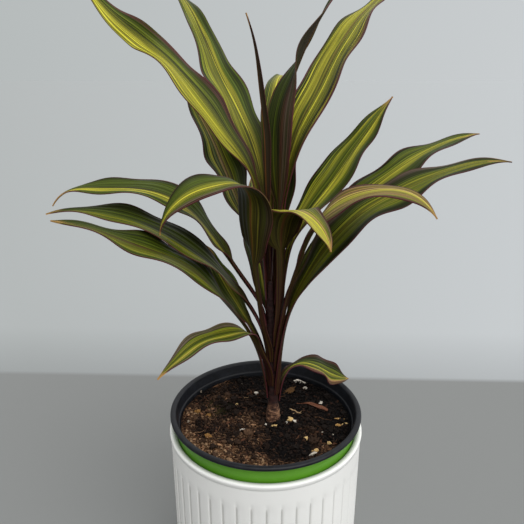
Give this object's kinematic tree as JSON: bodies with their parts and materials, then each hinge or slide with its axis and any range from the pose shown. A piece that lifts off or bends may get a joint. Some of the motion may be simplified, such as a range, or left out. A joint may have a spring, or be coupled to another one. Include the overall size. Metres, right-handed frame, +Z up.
{
  "type": "potted ti plant",
  "caption": "Ti plant with arching, lance-shaped striped leaves on a short cane, in a black grower pot with a green band inside a white fluted planter.",
  "frame": {"origin": "centre of the planter's flat underside, on the surface it stands on", "axes": "+Z up, -Y towards the viewer of the picture, +X to that viewer's right"},
  "size_m": [0.3182, 0.2564, 0.4961],
  "materials": {
    "planter": "smooth white plastic with a soft sheen",
    "grower_pot": "thin black plastic, slightly shiny",
    "green_band": "bright green, slightly shiny",
    "soil": "loose, crumbly peat with bits of bark and perlite",
    "stem": "dry, ringed bark",
    "leaf": "smooth leaf with a satin sheen, striped dark green and yellow, with dark red margins and stalk",
    "young_leaf": "smooth dark purple leaf, still rolled"
  },
  "bodies": {
    "root": {"planter": "planter", "grower_pot": "grower_pot", "green_band": "green_band", "soil": "soil", "stem": "stem", "leaf_low_right": "leaf", "leaf_left_lower": "leaf", "leaf_right_front": "leaf", "leaf_back_low": "leaf", "leaf_low_left": "leaf", "leaf_right_middle": "leaf", "leaf_left_short": "leaf", "leaf_right_arched": "leaf", "leaf_right_shaded": "leaf", "leaf_front_left": "leaf", "leaf_right_back": "leaf", "leaf_left_middle": "leaf", "leaf_front_right": "leaf", "leaf_left_back": "leaf", "leaf_tall_right": "leaf", "leaf_left_upper": "leaf", "leaf_tall_back_left": "leaf", "leaf_young_right": "leaf", "leaf_tall_left": "leaf", "leaf_small_back": "leaf", "leaf_spear": "young_leaf"}
  },
  "joints": []
}
